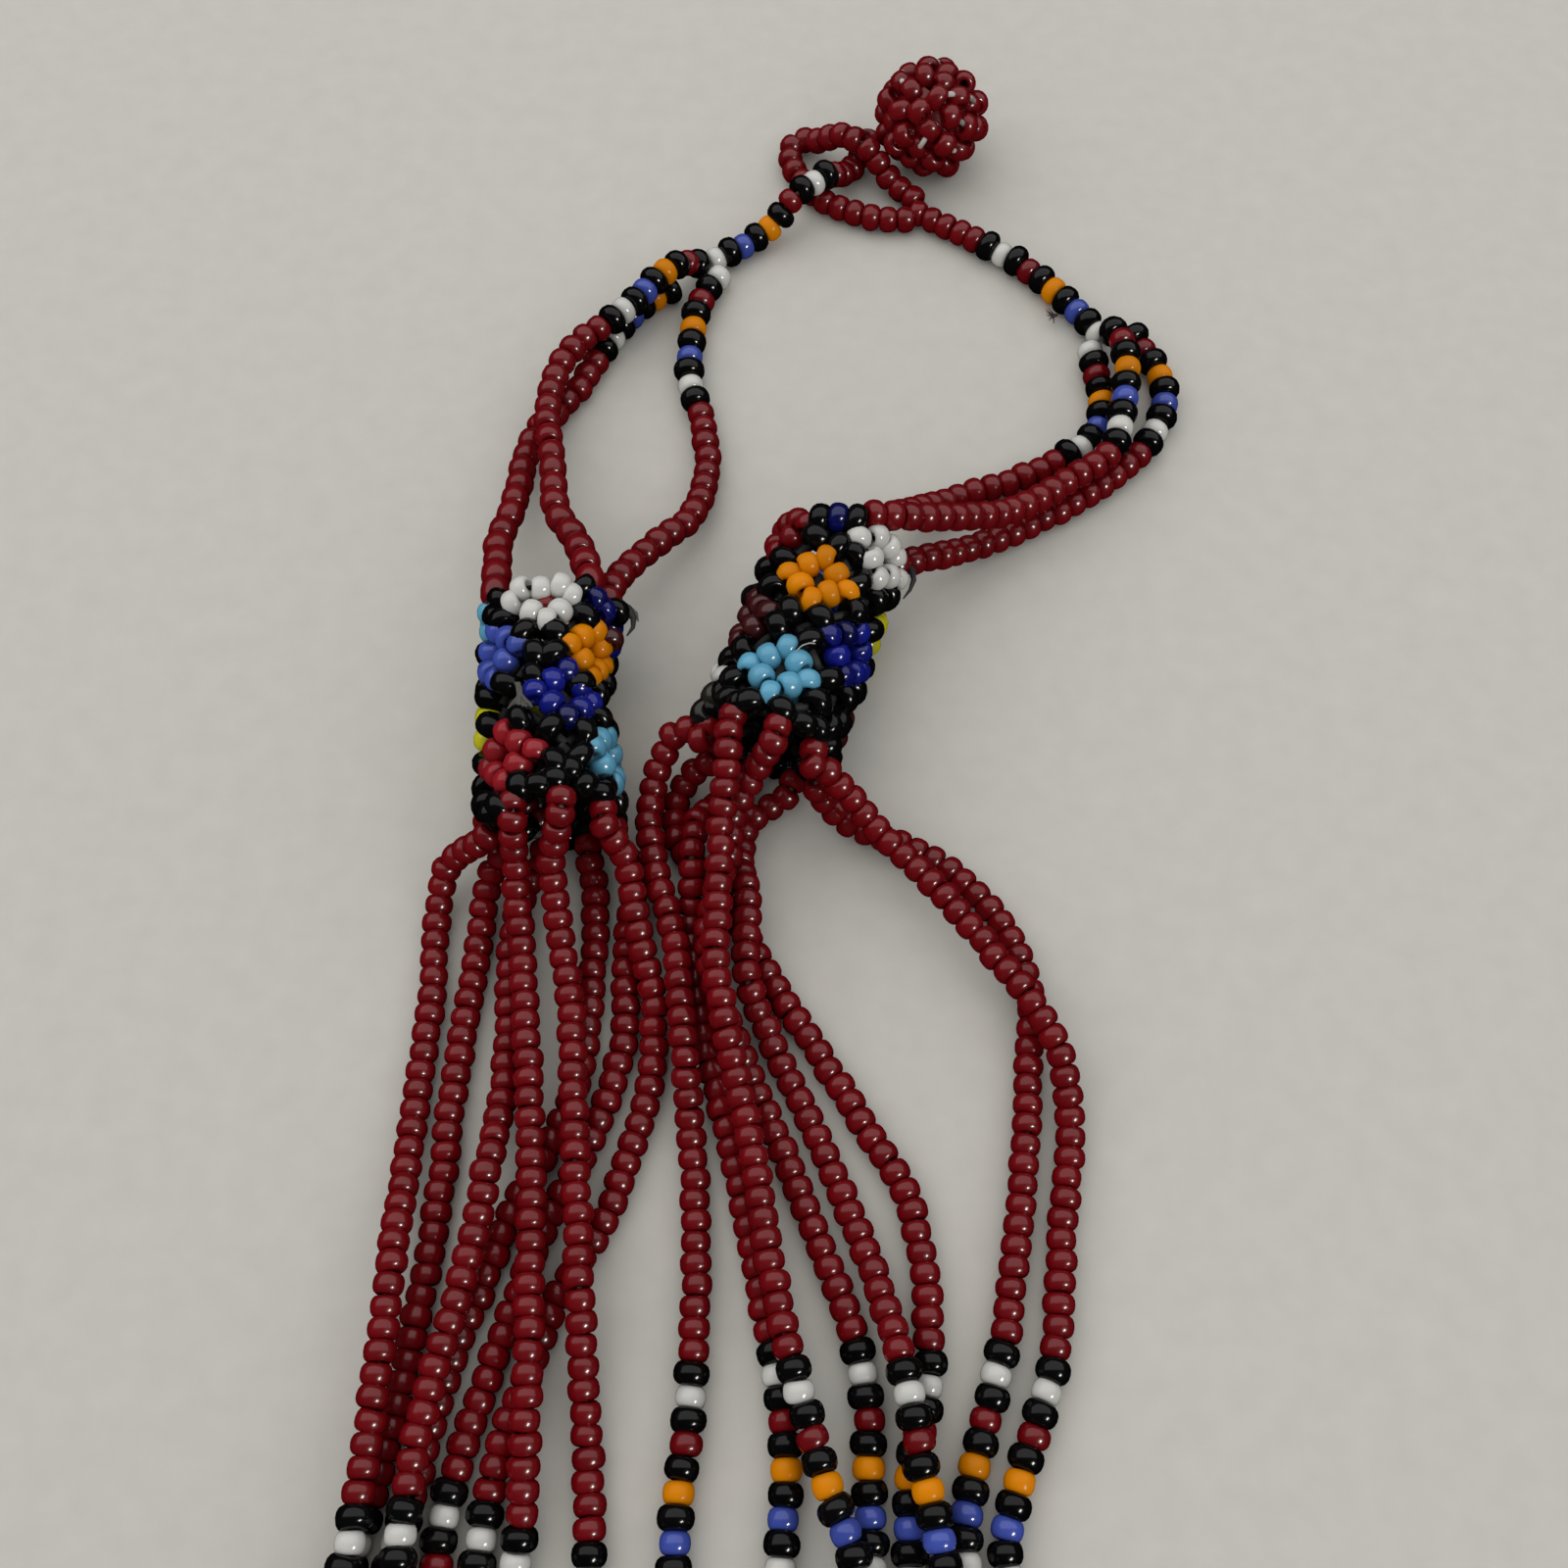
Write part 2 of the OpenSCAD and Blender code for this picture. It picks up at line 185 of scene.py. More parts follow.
RIGHT_HALVES = [
    (60, [[4.9, -3.6, 8.6], [8.8, -7.4, 5.6], [14.4, -13.2, 4.8], [19, -19.2, HIGH],
        [22.8, -24.4, HIGH], [25.2, -29.5, 3.6], [25.8, -36.5, LOW], [24.6, -43.5, LOW],
        [23.9, -50.5, LOW], [22.8, -56.5, LOW], [20.8, -61.6, LOW], [18.9, -66.8, LOW],
        [18, -71, LOW], [19.6, -80, LOW], [20.4, -92, LOW], [20.2, -106, LOW]]),
    (105, [[4.2, -3.9, 3.6], [6.8, -5.6, 1.8], [11, -7, LOW], [14.8, -9.2, LOW],
        [18.6, -12.6, LOW], [21.6, -17.2, LOW], [23.1, -22.6, LOW], [22.6, -29, LOW],
        [21.6, -38, LOW], [20.2, -47, LOW], [18.6, -55, LOW], [16.4, -62, LOW],
        [14.8, -69, LOW], [15.6, -78, LOW], [16.8, -90, LOW], [16.6, -105, LOW]]),
    (150, [[-1, -3, 1.8], [-3.4, -5, LOW], [-4.2, -8, LOW], [-4, -11, 3],
        [-3.4, -14, 4.3], [-3.5, -17.5, HIGH], [-3.4, -22, HIGH], [-1.7, -26.2, 2.6],
        [0.9, -31.6, LOW], [3.8, -38, LOW], [6.5, -44.8, LOW], [8.6, -51, 2.8],
        [10.2, -57.5, HIGH], [11.3, -64, HIGH], [12.6, -70.5, HIGH], [13.4, -77, HIGH],
        [13.6, -86, 2], [13.2, -94, LOW], [13, -106, LOW]]),
    (-120, [[-9.5, -0.6, 2.6], [-10.7, -3.6, LOW], [-10.5, -6.4, LOW],
        [-9.2, -9, LOW], [-7, -11.6, LOW], [-4.9, -14.6, LOW], [-3.1, -17.8, LOW],
        [-0.4, -22.8, LOW], [3.3, -28.5, LOW], [7, -34.8, LOW], [10.7, -41, LOW],
        [12.1, -47, LOW], [12.4, -53, LOW], [12.1, -58.5, LOW], [10.6, -63.5, LOW],
        [10.3, -71, LOW], [10.3, -80, LOW], [9.8, -92, LOW], [9.4, -106, LOW]]),
    (-30, [[-5.2, -2.6, 12.4], [-5.8, -8.4, 9.8], [-6.1, -15, 8.2], [-6.1, -22, TOP],
        [-5.2, -27.5, 7], [-4, -32.5, 5.2], [-2.7, -38.5, HIGH], [-1.5, -46.6, HIGH],
        [0, -53.3, HIGH], [1.9, -60, HIGH], [3.5, -65.6, HIGH], [5.6, -71, HIGH],
        [7, -79, HIGH], [6.8, -89, 2.2], [6.1, -98, LOW], [5.8, -108, LOW]]),
    (15, [[-2.4, -2.8, 9.8], [-4.8, -6.6, 7], [-5.3, -10.6, 6.1], [-6.5, -14, 5.3],
        [-7.1, -18, HIGH], [-6.6, -22.2, HIGH], [-5.1, -26, 3.9], [-3.3, -30.2, 1.8],
        [-0.7, -36.2, LOW], [2.1, -43, LOW], [4.8, -50, LOW], [6.4, -55, LOW],
        [7.1, -60.5, LOW], [7, -66, LOW], [6.9, -71.5, LOW], [3.9, -80, LOW],
        [2.7, -92, LOW], [2.2, -106, LOW]]),
    (-165, [[-4.9, -1.6, LOW], [-6.9, -3.4, 2], [-8.4, -6, 4], [-8.8, -9, HIGH],
        [-8.8, -12, 4.1], [-8.9, -15.5, 2.2], [-8.4, -20, LOW], [-7.1, -28.3, LOW],
        [-5.1, -35.5, LOW], [-3.5, -42.5, LOW], [-2, -49.5, LOW], [-0.7, -56, LOW],
        [0.2, -63, LOW], [-0.2, -70.6, LOW], [-0.8, -80, LOW], [-1.2, -92, LOW],
        [-1.4, -106, LOW]]),
    (-75, [[-10.4, 1.8, 7.6], [-12.8, -2.6, 4.6], [-12.8, -8, HIGH],
        [-11.9, -12.5, HIGH], [-10.2, -18.5, HIGH], [-9.6, -23.5, HIGH],
        [-9.1, -29, HIGH], [-8.4, -36, 2],
        [-7.8, -43, LOW], [-7.6, -52, LOW], [-8.1, -60.4, LOW], [-8.9, -69, LOW],
        [-8.4, -80, LOW], [-6.2, -92, LOW], [-5, -106, LOW]]),
]
# Red beads in millimetres from the left tube to the pattern, and from the right tube
RED_RUNS = [(66.4, 65.3), (60.2, 64.7), (61.8, 61.5), (59.8, 65.5), (63.4, 58.7), (64.7, 61.6),
    (64.2, 58.7), (66.2, 64.9)]

NECK_LEFT_1 = [[-9.7, 66.5, 1.9], [-12.2, 64.4, 4.3], [-14.6, 61.7, HIGH], [-17.3, 58.1, HIGH],
    [-20.8, 54.6, HIGH], [-23.8, 51.4, HIGH], [-25.6, 46.4, 4.6], [-25.5, 40.6, 5.4],
    [-24.5, 33.7, 6.4], [-23.4, 27.3, 7.8], [-21, 22.9, 9.3]] + back_exit(LEFT_TUBE, 45)
NECK_LEFT_2 = [[-13.3, 62.8, LOW], [-15.6, 61.2, LOW], [-17.7, 58.8, LOW],
    [-19.6, 55.6, LOW], [-21.4, 52.2, LOW], [-23, 48.8, LOW], [-25.2, 45.4, LOW],
    [-27.5, 42.4, LOW], [-28.3, 37.7, 2.5],
    [-28.6, 30.7, 4.6], [-29.4, 24.3, 6.8]] + back_exit(LEFT_TUBE, -60)
NECK_LEFT_3 = [[-7.2, 65.4, LOW], [-9.7, 60.8, LOW], [-10.6, 54.6, LOW],
    [-10.4, 49, LOW], [-8.9, 43.4, LOW], [-8.4, 37.6, LOW], [-9.6, 30.9, 2.8],
    [-13.1, 25.9, 4.6], [-16.4, 21.2, 6.3]] + back_exit(LEFT_TUBE, 82)
NECK_RIGHT_1 = [[36.4, 56.4, 2.8], [37.6, 53.8, 4.1], [38, 50.2, HIGH], [37.7, 47, HIGH],
    [37, 43, HIGH], [35.2, 37.6, HIGH], [29.6, 33.2, HIGH], [24, 29, 6], [17.4, 25.6, 9.6],
    [12.4, 23.9, 12.2], [9, 23.2, 13.3]]
NECK_RIGHT_2 = [[39.5, 56.5, LOW], [42.2, 51, LOW], [42.4, 46, LOW], [39.8, 40.6, LOW],
    [33.8, 34.8, LOW], [27, 30.5, LOW], [20.4, 26.9, 2.4], [15.6, 23.8, 5],
    [11.7, 21.9, 6.5]]
NECK_RIGHT_3 = [[34.5, 54.9, LOW], [35.4, 48.6, LOW], [35, 43.4, LOW],
    [31.6, 39.6, LOW], [25.2, 36, LOW], [18.6, 33.6, LOW], [13.4, 29.6, 5],
    [9.8, 26, 8.6], [8, 23.4, 10]]
BUTTON_ROUTE = [[10.1, 84.4, 4.2], [9.6, 84.3, 2.1], [8.2, 82.1, LOW],
    [6.8, 80.2, 2.4], [5, 77.9, 4.5], [3.4, 76.3, HIGH], [1.2, 74.4, HIGH],
    [-1.6, 72, 2.2], [-5, 69.4, LOW], [-8.5, 67.2, LOW]]
LOOP_ROUTE = [[16, 76.7, LOW], [13.2, 79.2, 2], [11.1, 80.7, 4], [9.2, 82, 5.5],
    [6.8, 83.8, 5], [4.4, 85.3, 2.8], [2.4, 86.5, 1.6], [1, 85.5, LOW],
    [0.9, 82.8, LOW], [2.1, 79.9, LOW], [4.6, 76.9, LOW], [7.8, 75, LOW],
    [10.8, 74, LOW], [14.2, 73.8, LOW]]
RIGHT_ROUTE = [[15.7, 75, LOW], [20, 72.2, LOW], [23.4, 69.9, LOW],
    [27.5, 66.7, LOW], [31.6, 62.4, LOW], [35.8, 56.7, LOW]]

# Distance between the points of a curve, and from a place to the two that give its direction
CURVE_STEP = 0.3
REACH = 0.9


def smooth(route):
    """Points of the curve through a route's places, close together."""
    route = np.array(route, float)
    last = len(route) - 1
    out = []
    for i in range(last):
        p0 = route[max(i - 1, 0)]
        p1 = route[i]
        p2 = route[i + 1]
        p3 = route[min(i + 2, last)]
        n = max(1, math.ceil(np.linalg.norm(p2 - p1) / CURVE_STEP))
        for k in range(n):
            t = k / n
            out.append((p1 * 2 + (p2 - p0) * t + (p0 * 2 - p1 * 5 + p2 * 4 - p3) * t * t
                        + (p1 * 3 - p0 - p2 * 3 + p3) * t ** 3) / 2)
    out.append(route[last])
    out = np.array(out)
    out[:, 2] = np.maximum(out[:, 2], LOW)
    return out


class Path:
    """A curve that gives its place and direction at a distance from its start."""

    def __init__(self, points):
        self.points = points
        steps = np.linalg.norm(np.diff(points, axis=0), axis=1)
        self.at = np.concatenate([[0.0], np.cumsum(steps)])
        self.length = self.at[-1]

    def place(self, s):
        inside = min(max(s, 0.0), self.length)
        here = np.array([np.interp(inside, self.at, self.points[:, k]) for k in range(3)])
        return here + self.ahead(inside) * (s - inside) if s != inside else here

    def ahead(self, s):
        s = min(max(s, REACH), self.length - REACH)
        d = self.place(s + REACH) - self.place(s - REACH)
        return d / np.linalg.norm(d)


# A bead's section: how square it is, and its outline as distances along the hole and
# from it, both 0 to 1
SEGMENTS = 18
ROUND = 2.3
OUTLINE_STEPS = 8
OUTLINE = []
for step in range(OUTLINE_STEPS + 1):
    a = math.pi * (step / OUTLINE_STEPS - 0.5)
    OUTLINE.append((math.copysign(abs(math.sin(a)) ** (2 / ROUND), a),
                    abs(math.cos(a)) ** (2 / ROUND)))
# Width of the rounded lip at a bead's hole
LIP = 0.2
# How beads differ: least and most width, lean in degrees, shift, wedge and oval
NARROWEST = 0.96
WIDEST = 1.03
LEAN = 5.0
SHIFT = 0.06
WEDGE = 0.05
OVAL = 0.012
# Free space under the lowest beads
FLOOR_GAP = 0.06
# A direction steeper than this takes another helper direction
STEEP = 0.8
# Threads: sides, how much a tapered one narrows, and a direction that none runs along
THREAD_SIDES = 6
TAPER = 0.85
OFF_THREAD = np.array([0.31, 0.17, 0.93])


def quads(rings, sides, closed=False):
    """Faces between rings of points that follow one another."""
    faces = []
    for i in range(rings if closed else rings - 1):
        j = (i + 1) % rings
        for k in range(sides):
            m = (k + 1) % sides
            faces.append((i * sides + k, j * sides + k, j * sides + m, i * sides + m))
    return np.array(faces)


BEAD_FACES = quads(len(OUTLINE) + 1, SEGMENTS, True)


def dice_point(spread):
    return np.array([dice.gauss(0, spread) for axis in range(3)])


class BeadMesh:
    """Gathers beads and threads and makes one mesh of them."""

    def __init__(self):
        self.verts = []
        self.faces = []
        self.slots = []
        self.tones = []
        self.count = 0
        self.letters = []

    def slot_of(self, letter):
        if letter not in self.letters:
            self.letters.append(letter)
        return self.letters.index(letter)

    def add(self, verts, faces, letter, tone):
        self.verts.append(verts)
        self.faces.append(faces + self.count)
        self.slots.append(np.full(len(faces), self.slot_of(letter)))
        self.tones.append(np.full(len(verts), tone))
        self.count += len(verts)

    def bead(self, centre, axis, letter, scale=1.0, width=1.0, tilt=LEAN, shift=SHIFT):
        """One bead on a thread that runs along the axis, scaled in length and in width."""
        length, diameter = BEADS[letter]
        length *= scale
        diameter *= width * dice.uniform(NARROWEST, WIDEST)
        axis = axis / np.linalg.norm(axis)
        helper = np.array([0, 0, 1.0]) if abs(axis[2]) < STEEP else np.array([1.0, 0, 0])
        side = np.cross(axis, helper)
        side /= np.linalg.norm(side)
        up = np.cross(side, axis)
        lean = math.radians(tilt)
        axis = axis + side * dice.gauss(0, lean) + up * dice.gauss(0, lean)
        axis /= np.linalg.norm(axis)
        side = np.cross(axis, up)
        side /= np.linalg.norm(side)
        up = np.cross(side, axis)
        centre = centre + side * dice.gauss(0, shift) + up * dice.gauss(0, shift / 2)
        centre[2] = max(centre[2], diameter / 2 + FLOOR_GAP)
        wedge = dice.gauss(0, WEDGE)
        wedge_at = dice.uniform(0, 2 * math.pi)
        oval = dice.gauss(0, OVAL)
        turn = dice.uniform(0, 2 * math.pi)
        angles = turn + np.arange(SEGMENTS) * 2 * math.pi / SEGMENTS
        lip_r = HOLE_R + LIP
        profile = [(x * length / 2, lip_r + r * (diameter / 2 - lip_r)) for x, r in OUTLINE]
        profile.append((0.0, HOLE_R))
        rings = []
        for x, r in profile:
            radius = r * (1 + oval * np.cos(2 * (angles - wedge_at)))
            slide = x * (1 + wedge * np.cos(angles - wedge_at) * r / BEAD_R)
            rings.append(centre + np.outer(slide, axis)
                         + np.outer(radius * np.cos(angles), side)
                         + np.outer(radius * np.sin(angles), up))
        self.add(np.concatenate(rings), BEAD_FACES, letter, dice.uniform(-1, 1))

    def thread(self, points, radius, letter="t", sides=THREAD_SIDES, closed=False, taper=False):
        """A round thread through some points."""
        points = np.array(points, float)
        n = len(points)
        if closed:
            ahead = np.roll(points, -1, axis=0) - np.roll(points, 1, axis=0)
        else:
            ahead = np.gradient(points, axis=0)
        side = np.cross(ahead, OFF_THREAD)
        side /= np.linalg.norm(side, axis=1)[:, None]
        up = np.cross(side, ahead)
        up /= np.linalg.norm(up, axis=1)[:, None]
        angles = np.arange(sides) * 2 * math.pi / sides
        verts = []
        for i in range(n):
            r = radius * (1 - TAPER * i / (n - 1)) if taper else radius
            verts.append(points[i] + r * (np.outer(np.cos(angles), side[i])
                                          + np.outer(np.sin(angles), up[i])))
        faces = quads(n, sides, closed)[:, [0, 3, 2, 1]]
        self.add(np.concatenate(verts), faces, letter, 0.0)

    def build(self, name, slot, nodes):
        verts = (np.concatenate(self.verts) + LAYOUT_SHIFT) / MM
        mesh = bpy.data.meshes.new(name)
        mesh.from_pydata(verts.tolist(), [], np.concatenate(self.faces).tolist())
        for letter in self.letters:
            mesh.materials.append(MATERIALS[letter])
        mesh.polygons.foreach_set("material_index", np.concatenate(self.slots).astype(np.int32))
        mesh.polygons.foreach_set("use_smooth", np.ones(len(mesh.polygons), bool))
        tone = mesh.attributes.new("tone", "FLOAT", "POINT")
        tone.data.foreach_set("value", np.concatenate(self.tones).astype(np.float32))
        mesh.update()
        piece = bpy.data.objects.new(name, mesh)
        bpy.context.scene.collection.objects.link(piece)
        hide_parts(*nodes)
        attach(piece, "root")
        return piece


# Materials: scales of the noise in them, and the glass and its clear coat
CLOUD_SCALE = 900
RIPPLE_SCALE = 500
FIBRE_SCALE = 5000
FLOOR_SCALE = 350
# Bumps: depth in metres, and strength on glass and on thread
BUMP_DEPTH = 0.0001
RIPPLE_STRENGTH = 0.1
FIBRE_STRENGTH = 0.4
GLASS_IOR = 1.36
SPECULAR = 0.5
COAT = 0.3
COAT_ROUGH = 0.06
# The dark parts of a thread, against its colour
FIBRE_DARK = 0.55


def new_material(name):
    """A material with its node tree and shader, and the coordinates for its noise."""
    material = bpy.data.materials.new(name)
    material.use_nodes = True
    tree = material.node_tree
    return material, tree, tree.nodes["Principled BSDF"], tree.nodes.new("ShaderNodeTexCoord")


def noise(tree, where, scale, detail):
    cloud = tree.nodes.new("ShaderNodeTexNoise")
    cloud.inputs["Scale"].default_value = scale
    cloud.inputs["Detail"].default_value = detail
    tree.links.new(where.outputs["Object"], cloud.inputs["Vector"])
    return cloud.outputs["Fac"]


def colours(tree, shader, amount, dark, light):
    """Base colour between dark and light."""
    ramp = tree.nodes.new("ShaderNodeValToRGB")
    first, last = ramp.color_ramp.elements
    first.color = [*dark, 1]
    last.color = [*light, 1]
    tree.links.new(amount, ramp.inputs["Fac"])
    tree.links.new(ramp.outputs["Color"], shader.inputs["Base Color"])


def bumps(tree, shader, height, strength):
    bump = tree.nodes.new("ShaderNodeBump")
    bump.inputs["Strength"].default_value = strength
    bump.inputs["Distance"].default_value = BUMP_DEPTH
    tree.links.new(height, bump.inputs["Height"])
    tree.links.new(bump.outputs["Normal"], shader.inputs["Normal"])


def glass_bead(name, colour, rough=0.2, shade=0.25, depth=0.45, clear=0.0, gloss=1.0):
    """Pressed glass: a colour that changes a little from bead to bead and over each bead.

    The shade is how far it changes along a ramp that is darker and lighter by the depth.
    """
    material, tree, shader, where = new_material(name)
    tone = tree.nodes.new("ShaderNodeAttribute")
    tone.attribute_name = "tone"
    spread = tree.nodes.new("ShaderNodeMath")
    spread.operation = "MULTIPLY_ADD"
    spread.inputs[1].default_value = shade / 2
    spread.inputs[2].default_value = 0.5 - shade / 4
    tree.links.new(tone.outputs["Fac"], spread.inputs[0])
    total = tree.nodes.new("ShaderNodeMath")
    total.operation = "MULTIPLY_ADD"
    total.inputs[1].default_value = shade / 2
    tree.links.new(noise(tree, where, CLOUD_SCALE, 2), total.inputs[0])
    tree.links.new(spread.outputs[0], total.inputs[2])
    colours(tree, shader, total.outputs[0], [c * (1 - depth) for c in colour],
            [min(1, c * (1 + depth)) for c in colour])
    shader.inputs["Roughness"].default_value = rough
    shader.inputs["IOR"].default_value = GLASS_IOR
    shader.inputs["Specular IOR Level"].default_value = SPECULAR * gloss
    shader.inputs["Coat Weight"].default_value = COAT * gloss
    shader.inputs["Coat Roughness"].default_value = COAT_ROUGH
    shader.inputs["Transmission Weight"].default_value = clear
    bumps(tree, shader, noise(tree, where, RIPPLE_SCALE, 1), RIPPLE_STRENGTH)
    return material


def fibre(name, colour, rough):
    """Thread: fine noise in its colour and in its surface."""
    material, tree, shader, where = new_material(name)
    fine = noise(tree, where, FIBRE_SCALE, 3)
    colours(tree, shader, fine, [c * FIBRE_DARK for c in colour], colour)
    shader.inputs["Roughness"].default_value = rough
    bumps(tree, shader, fine, FIBRE_STRENGTH)
    return material


MATERIALS = {
    "r": glass_bead("red_glass", (0.144, 0.0008, 0.003), 0.26, 0.22, gloss=0.85),
    "k": glass_bead("black_glass", (0.0025, 0.0025, 0.0025), 0.18, 0.5, gloss=0.5),
    "w": glass_bead("white_glass", (0.57, 0.555, 0.51), 0.2, 0.12),
    "o": glass_bead("orange_glass", (0.61, 0.192, 0.0004), 0.26, 0.3, gloss=0.2),
    "b": glass_bead("periwinkle_glass", (0.045, 0.072, 0.34), 0.2, 0.25),
    "l": glass_bead("light_blue_glass", (0.1, 0.33, 0.47), 0.26, 0.16),
    # Royal blue: strong dark and light mottling, whose bright blue patches are painted glints
    # that stand in for light passing through the glass
    "u": glass_bead("royal_blue_glass", (0.007, 0.012, 0.22), 0.2, 0.8, depth=0.8, clear=0.4,
                    gloss=0.8),
    "y": glass_bead("yellow_glass", (0.47, 0.44, 0.006), 0.24, 0.2),
    "c": glass_bead("cherry_glass", (0.235, 0.007, 0.012), 0.24, 0.4, gloss=0.8),
    "d": glass_bead("brown_red_glass", (0.05, 0.006, 0.007), 0.25, 0.4),
    "g": glass_bead("worn_black_glass", (0.02, 0.0165, 0.01), 0.3, 1.0, depth=0.9),
    "t": fibre("white_thread", (0.6, 0.56, 0.5), 0.85),
    "s": fibre("strand_thread", (0.2, 0.15, 0.13), 0.9),
    "f": fibre("brown_thread", (0.05, 0.022, 0.018), 0.95),
    "m": fibre("grey_thread", (0.1, 0.09, 0.078), 0.95),
    # Near-black thread: the thread ends on the tubes, and the weave's threads, whose darkness
    # also paints the shade inside the tubes
    "n": fibre("dark_thread_and_painted_shade", (0.006, 0.0055, 0.005), 0.75),
}

# A bead is a little longer than its place in a strand, so that it meets its neighbours
SNUG = 1.05
# Red beads of the clasp and the neck strands, against the front strands' beads
NECK_LONG = 1.1
NECK_WIDE = 1.1
STRAND_THREAD_R = 0.3
# How far a front strand's beads reach into the tubes
TUCK = 0.8
# A hidden front longer than this has one more pattern at its middle
LONG_FRONT = 90
# The frayed tuft on a string: fibres and their radius
FUZZ_FIBRES = 9
FUZZ_R = 0.16


def lay(mesh, path, sequence, start, end, width=1.0, stretch=1.0):
    """Lays beads along a path between two distances. The last ones are longer by the stretch."""
    if not sequence:
        return
    grow = np.linspace(1, stretch, len(sequence))
    fit = (end - start) / sum(BEADS[letter][0] * g for letter, g in zip(sequence, grow))
    s = start
    for letter, g in zip(sequence, grow):
        scale = fit * g
        length = BEADS[letter][0] * scale
        middle = s + length / 2
        mesh.bead(path.place(middle), path.ahead(middle), letter, scale * SNUG, width)
        s += length


def reds(length):
    return "r" * round(length / BEADS["r"][0])


def span(sequence):
    return sum(BEADS[letter][0] for letter in sequence)


def string(name, points, head="", tail="", before=0.3, after=0.3, grow=NECK_LONG,
           stretch=1.0, fuzz=None):
    """The beads of one string: a head, red beads and a tail.

    They start before the route and end after it. The head's and the tail's beads are
    longer by grow, and the last red ones by the stretch. A tuft may stand on the string.
    """
    mesh = BeadMesh()
    path = Path(smooth(points))
    head_end = span(head) * grow - before
    tail_start = path.length + after - span(tail) * grow
    lay(mesh, path, head, -before, head_end, NECK_WIDE)
    row = reds((tail_start - head_end) / NECK_LONG / (1 + stretch) * 2)
    lay(mesh, path, row, head_end, tail_start, NECK_WIDE, stretch)
    lay(mesh, path, tail, tail_start, path.length + after, NECK_WIDE)
    mesh.thread(path.points[::4], STRAND_THREAD_R, "s")
    if fuzz:
        tuft(mesh, fuzz[0], fuzz[1:], FUZZ_FIBRES, FUZZ_R, "f")
    mesh.build("beads_" + name, "red_glass_beads", [name])


def front_strand(i):
    """The beads of one front strand, from the left tube round the front to the right one."""
    angle_left, left = LEFT_HALVES[i]
    angle_right, right = RIGHT_HALVES[i]
    route = (front_exit(LEFT_TUBE, angle_left) + list(left)
             + front_turn(len(LEFT_HALVES) - 1 - i)
             + list(reversed(right)) + list(reversed(front_exit(RIGHT_TUBE, angle_right))))
    path = Path(smooth(route))
    mesh = BeadMesh()
    left_run, right_run = RED_RUNS[i]
    start = left_run + span(PATTERN)
    right_start = path.length - right_run
    end = right_start - span(PATTERN)
    lay(mesh, path, reds(left_run + TUCK), -TUCK, left_run)
    lay(mesh, path, PATTERN, left_run, start)
    lay(mesh, path, reds(right_run + TUCK), right_start, path.length + TUCK)
    lay(mesh, path, PATTERN[::-1], end, right_start)
    hidden = end - start
    middle = reds(hidden)
    if hidden > LONG_FRONT:
        half = reds((hidden - span(PATTERN)) / 2)
        middle = half + PATTERN + half
    lay(mesh, path, middle, start, end)
    mesh.thread(path.points[::5], STRAND_THREAD_R, "s")
    name = "front_strand_%d" % (i + 1)
    mesh.build("beads_" + name, "red_glass_beads", [name])


# Woven tubes: rows of diamonds, three round the tube, with black beads along their edges
WEAVE_R = 5.85
# Degrees round the weave for each millimetre
WEAVE_DEGREES = 180 / math.pi / WEAVE_R
# Angle from a diamond's middle to its side corner
HALF_DIAMOND = 60
# Diamond rings: half width and half height, how far they stand out, and where their
# beads sit in them
RING_W = 3.0
RING_H = 2.6
RING_OUT = 0.15
RING = [(0, 1), (0.48, 0.48), (1, 0), (0.48, -0.48), (0, -1), (-0.48, -0.48), (-1, 0),
    (-0.48, 0.48)]
# The white ring at the left tube's end: places as above, and each bead's lean in degrees
END_RING = [(0, 0.55, 0), (0.6, 0.56, -5), (0.98, 0.22, -15), (0.58, -0.5, 60), (0.2, -1, 0),
    (-0.27, -0.52, -35), (-0.97, 0.12, 20), (-0.62, 0.62, 5)]
# A ring's beads further out past the tube's front end than this are left off
FRONT_LIMIT = -0.6
# The part of the tube that beads may be on, from its ends
FRONT_MARGIN = 0.9
BACK_MARGIN = 0.1
# Woven beads, against those of a strand: length and width, lean and shift
WOVEN_LONG = 1.04
WOVEN_WIDE = 0.98
WOVEN_LEAN = 8.0
WOVEN_SHIFT = 0.1
SINGLE_LEAN = 4.0
SINGLE_SHIFT = 0.05
# Beads along a diamond's edge: places, size, spread of their lean in radians, least
# distance from the front end, and free space round a single bead
EDGE_PARTS = (0.25, 0.73)
EDGE_SIZE = 1.12
EDGE_LEAN = 0.45
EDGE_FRONT = 0.2
SINGLE_SPACE = 1.6
# Threads of the weave, as radius and depth: through a ring, in its middle, along an edge. They
# are near black, and the thick ones in a ring's middle and along its edges also stand in for the
# shade inside the hollow tube (painted shade)
RING_THREAD_R = 0.25
RING_THREAD_IN = 0.05
CORE_THREAD_R = 1.3
CORE_THREAD_IN = 1.6
CORE_PARTS = (-0.4, 0, 0.4)
EDGE_THREAD_R = 0.5
EDGE_THREAD_IN = 0.6
QUARTERS = (0, 0.25, 0.5, 0.75, 1)
# Where a tube is drawn in on its right side, and how far along it
WAIST_BACK = 13
WAIST_SPREAD = 6


def tube_point(tube, angle, back, out=0.0):
    """A place on a tube, at an angle from the top and a distance back from its front end."""
    end, turn, length = tube
    a = math.radians(angle)
    radius = WEAVE_R + out
    return (end + across_tube(turn) * radius * math.sin(a)
            + np.array([0, 0, radius * math.cos(a)]) - along_tube(turn) * back)


def heading(tube, angle, back, lean):
    """A direction on a tube's surface: across the tube where the lean is nought."""
    a = math.cos(lean) * WEAVE_DEGREES
    b = math.sin(lean)
    return tube_point(tube, angle + a, back + b) - tube_point(tube, angle - a, back - b)


